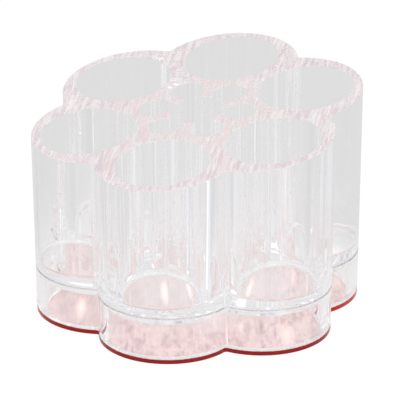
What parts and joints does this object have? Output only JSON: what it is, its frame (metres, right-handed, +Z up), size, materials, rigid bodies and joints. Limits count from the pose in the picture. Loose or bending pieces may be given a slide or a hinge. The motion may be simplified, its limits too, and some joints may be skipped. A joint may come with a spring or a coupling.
{
  "type": "makeup organizer",
  "caption": "Clear flower-shaped makeup organizer: open round cups in a ring round a notched centre compartment, under one slanted top, on a tray with a tinted base.",
  "frame": {"origin": "centre of the face that it stands on", "axes": "+Z up, +Y the way the slanted top rises, +X to the right seen from the low side"},
  "size_m": [0.1144, 0.1058, 0.0777],
  "materials": {
    "clear_plastic": "clear gloss",
    "tinted_plastic": "transparent gloss, tinted red"
  },
  "bodies": {
    "tray": {"base_ring": "clear_plastic", "base_plate": "tinted_plastic"},
    "block": {"cup_block": "clear_plastic"}
  },
  "joints": [
    {"name": "block_lift", "type": "slide", "parent": "tray", "child": "block", "axis": [0, 0, 1], "range_m": [0, 0.03]}
  ]
}
